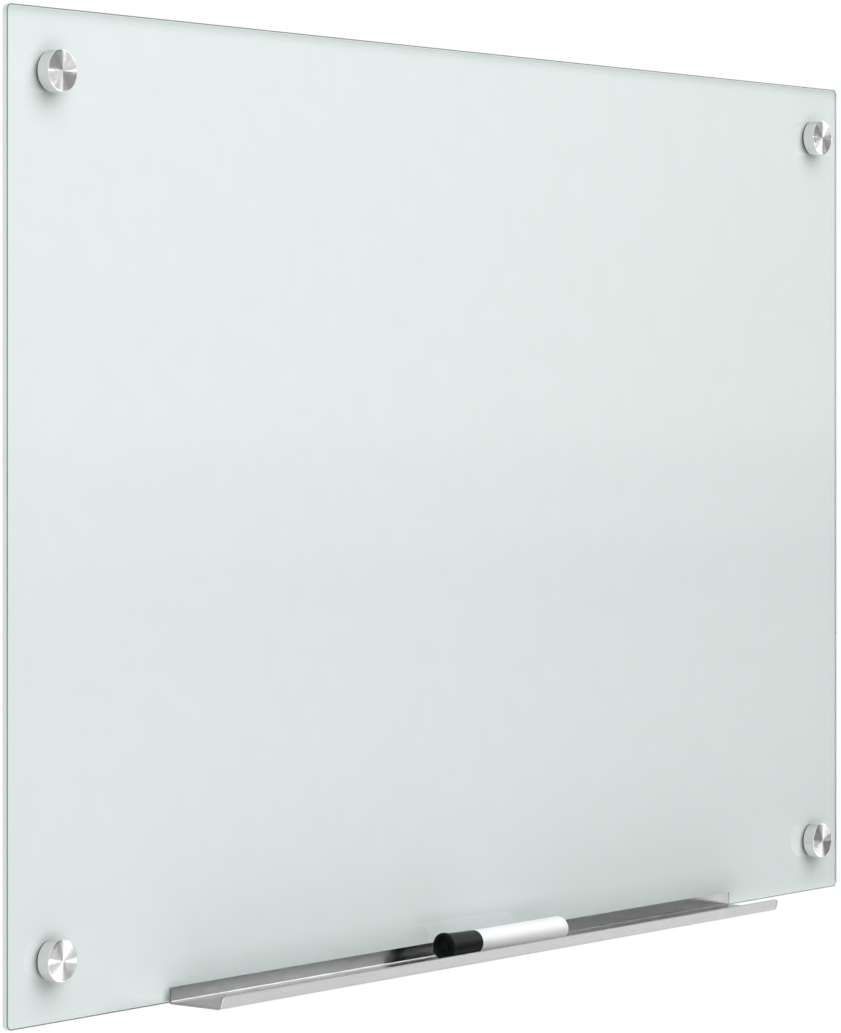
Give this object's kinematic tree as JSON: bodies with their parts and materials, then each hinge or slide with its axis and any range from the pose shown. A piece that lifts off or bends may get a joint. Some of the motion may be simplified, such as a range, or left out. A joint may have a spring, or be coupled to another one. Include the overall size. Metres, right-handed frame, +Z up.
{
  "type": "glass whiteboard",
  "caption": "Frameless glass writing board on round metal standoffs at its corners, with a bent metal tray taped along its lower edge and a capped marker in it.",
  "frame": {"origin": "on the wall's surface, midway between the four fixing points", "axes": "+X along the board's width to the right as seen from the room, +Y into the wall, +Z up; the board's face looks along -Y"},
  "size_m": [0.9144, 0.082, 0.6098],
  "materials": {
    "back_painted_glass": "clear tempered glass over a pale, faintly green painted back",
    "turned_steel": "circular brushing on the face, satin on the side",
    "zinc_plated_steel": "plated steel thread",
    "satin_aluminium": "satin turned aluminium",
    "black_rubber": "matte",
    "clear_nylon": "natural nylon",
    "plated_screw": "yellow-passivated screw steel",
    "brushed_aluminium": "brushed along its length, clear anodised",
    "grey_foam_tape": "closed-cell foam",
    "black_plastic": "satin moulded plastic",
    "dark_plastic": "satin moulded plastic",
    "inked_felt": "felt soaked in ink",
    "white_plastic": "semi-gloss moulded plastic",
    "ink_fibre": "fibre rod"
  },
  "bodies": {
    "root": {"glass_panel": "back_painted_glass", "tray": "brushed_aluminium", "tray_tape": "grey_foam_tape", "glass_sleeve_top_left": "clear_nylon", "rear_washer_top_left": "black_rubber", "standoff_barrel_top_left": "satin_aluminium", "wall_screw_top_left": "plated_screw", "glass_sleeve_top_right": "clear_nylon", "rear_washer_top_right": "black_rubber", "standoff_barrel_top_right": "satin_aluminium", "wall_screw_top_right": "plated_screw", "glass_sleeve_bottom_left": "clear_nylon", "rear_washer_bottom_left": "black_rubber", "standoff_barrel_bottom_left": "satin_aluminium", "wall_screw_bottom_left": "plated_screw", "glass_sleeve_bottom_right": "clear_nylon", "rear_washer_bottom_right": "black_rubber", "standoff_barrel_bottom_right": "satin_aluminium", "wall_screw_bottom_right": "plated_screw"},
    "washer_top_left": {"front_washer_top_left": "black_rubber"},
    "cap_top_left": {"standoff_cap_top_left": "turned_steel", "stud_top_left": "zinc_plated_steel"},
    "washer_top_right": {"front_washer_top_right": "black_rubber"},
    "cap_top_right": {"standoff_cap_top_right": "turned_steel", "stud_top_right": "zinc_plated_steel"},
    "washer_bottom_left": {"front_washer_bottom_left": "black_rubber"},
    "cap_bottom_left": {"standoff_cap_bottom_left": "turned_steel", "stud_bottom_left": "zinc_plated_steel"},
    "washer_bottom_right": {"front_washer_bottom_right": "black_rubber"},
    "cap_bottom_right": {"standoff_cap_bottom_right": "turned_steel", "stud_bottom_right": "zinc_plated_steel"},
    "marker": {"marker_nose": "dark_plastic", "marker_nib": "inked_felt", "marker_barrel": "white_plastic", "marker_reservoir": "ink_fibre", "marker_end_plug": "white_plastic"},
    "marker_cap": {"marker_cap": "black_plastic"}
  },
  "joints": [
    {"name": "cap_top_left_travel", "type": "slide", "parent": "root", "child": "washer_top_left", "axis": [0, -1, 0], "range_m": [0, 0.009]},
    {"name": "cap_top_left_turn", "type": "hinge", "parent": "washer_top_left", "child": "cap_top_left", "pos_m": [-0.4202, -0.0258, 0.2663], "axis": [0, -1, 0], "range_deg": [0, 2160]},
    {"name": "cap_top_right_travel", "type": "slide", "parent": "root", "child": "washer_top_right", "axis": [0, -1, 0], "range_m": [0, 0.009]},
    {"name": "cap_top_right_turn", "type": "hinge", "parent": "washer_top_right", "child": "cap_top_right", "pos_m": [0.4202, -0.0258, 0.2663], "axis": [0, -1, 0], "range_deg": [0, 2160]},
    {"name": "cap_bottom_left_travel", "type": "slide", "parent": "root", "child": "washer_bottom_left", "axis": [0, -1, 0], "range_m": [0, 0.009]},
    {"name": "cap_bottom_left_turn", "type": "hinge", "parent": "washer_bottom_left", "child": "cap_bottom_left", "pos_m": [-0.4202, -0.0258, -0.2663], "axis": [0, -1, 0], "range_deg": [0, 2160]},
    {"name": "cap_bottom_right_travel", "type": "slide", "parent": "root", "child": "washer_bottom_right", "axis": [0, -1, 0], "range_m": [0, 0.009]},
    {"name": "cap_bottom_right_turn", "type": "hinge", "parent": "washer_bottom_right", "child": "cap_bottom_right", "pos_m": [0.4202, -0.0258, -0.2663], "axis": [0, -1, 0], "range_deg": [0, 2160]},
    {"name": "marker_slide", "type": "slide", "parent": "root", "child": "marker", "axis": [1, 0, 0], "range_m": [-0.2498, 0.2377]},
    {"name": "marker_cap_pull", "type": "slide", "parent": "marker", "child": "marker_cap", "axis": [-1, 0, 0.0068], "range_m": [0, 0.03]}
  ],
  "couplings": [
    {"joint": "cap_top_left_travel", "follows": "cap_top_left_turn", "m_per_rad": 0.00023873},
    {"joint": "cap_top_right_travel", "follows": "cap_top_right_turn", "m_per_rad": 0.00023873},
    {"joint": "cap_bottom_left_travel", "follows": "cap_bottom_left_turn", "m_per_rad": 0.00023873},
    {"joint": "cap_bottom_right_travel", "follows": "cap_bottom_right_turn", "m_per_rad": 0.00023873}
  ]
}
